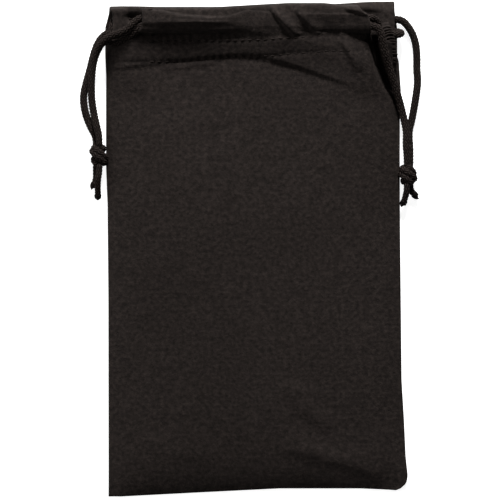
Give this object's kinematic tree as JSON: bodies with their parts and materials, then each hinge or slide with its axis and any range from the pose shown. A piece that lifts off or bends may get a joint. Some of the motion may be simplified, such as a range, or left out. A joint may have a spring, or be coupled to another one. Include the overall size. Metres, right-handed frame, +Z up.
{
  "type": "soft pouch glasses case",
  "caption": "Soft drawstring pouch for glasses: crowned cloth panels sewn on three sides, a hemmed mouth with cord tunnels, and knotted braided drawcords.",
  "frame": {"origin": "on the resting surface, under the middle of the pouch without its loose cord ends", "axes": "+X across the pouch's width, +Y along its length towards the mouth, +Z up from the surface it lies on"},
  "size_m": [0.1182, 0.169, 0.0123],
  "materials": {
    "microfibre": "matt brushed knit, faint sheen",
    "braided_cord": "matt braided polyester",
    "sewing_thread": "satin twisted thread",
    "overlock_thread": "matt looped thread over raw cloth edge"
  },
  "bodies": {
    "pouch": {"front_panel": "microfibre", "back_panel": "microfibre", "front_hem": "microfibre", "back_hem": "microfibre", "left_seam_overlock": "overlock_thread", "right_seam_overlock": "overlock_thread", "bottom_seam_overlock": "overlock_thread", "left_seam_stitches": "sewing_thread", "right_seam_stitches": "sewing_thread", "bottom_seam_stitches": "sewing_thread", "front_upper_hem_stitches": "sewing_thread", "front_lower_hem_stitches": "sewing_thread", "back_upper_hem_stitches": "sewing_thread", "back_lower_hem_stitches": "sewing_thread", "left_cord_bight": "braided_cord", "right_cord_bight": "braided_cord"},
    "left_drawcord": {"left_cord_front_run": "braided_cord", "left_cord_back_run": "braided_cord", "left_cord_front_strand": "braided_cord", "left_cord_rear_strand": "braided_cord", "left_cord_knot": "braided_cord", "left_cord_front_tail": "braided_cord", "left_cord_rear_tail": "braided_cord"},
    "right_drawcord": {"right_cord_front_run": "braided_cord", "right_cord_back_run": "braided_cord", "right_cord_front_strand": "braided_cord", "right_cord_rear_strand": "braided_cord", "right_cord_knot": "braided_cord", "right_cord_front_tail": "braided_cord", "right_cord_rear_tail": "braided_cord"}
  },
  "joints": [
    {"name": "left_cord_pull", "type": "slide", "parent": "pouch", "child": "left_drawcord", "axis": [-1, 0, 0], "range_m": [0, 0.07]},
    {"name": "right_cord_pull", "type": "slide", "parent": "pouch", "child": "right_drawcord", "axis": [1, 0, 0], "range_m": [0, 0.07]}
  ]
}
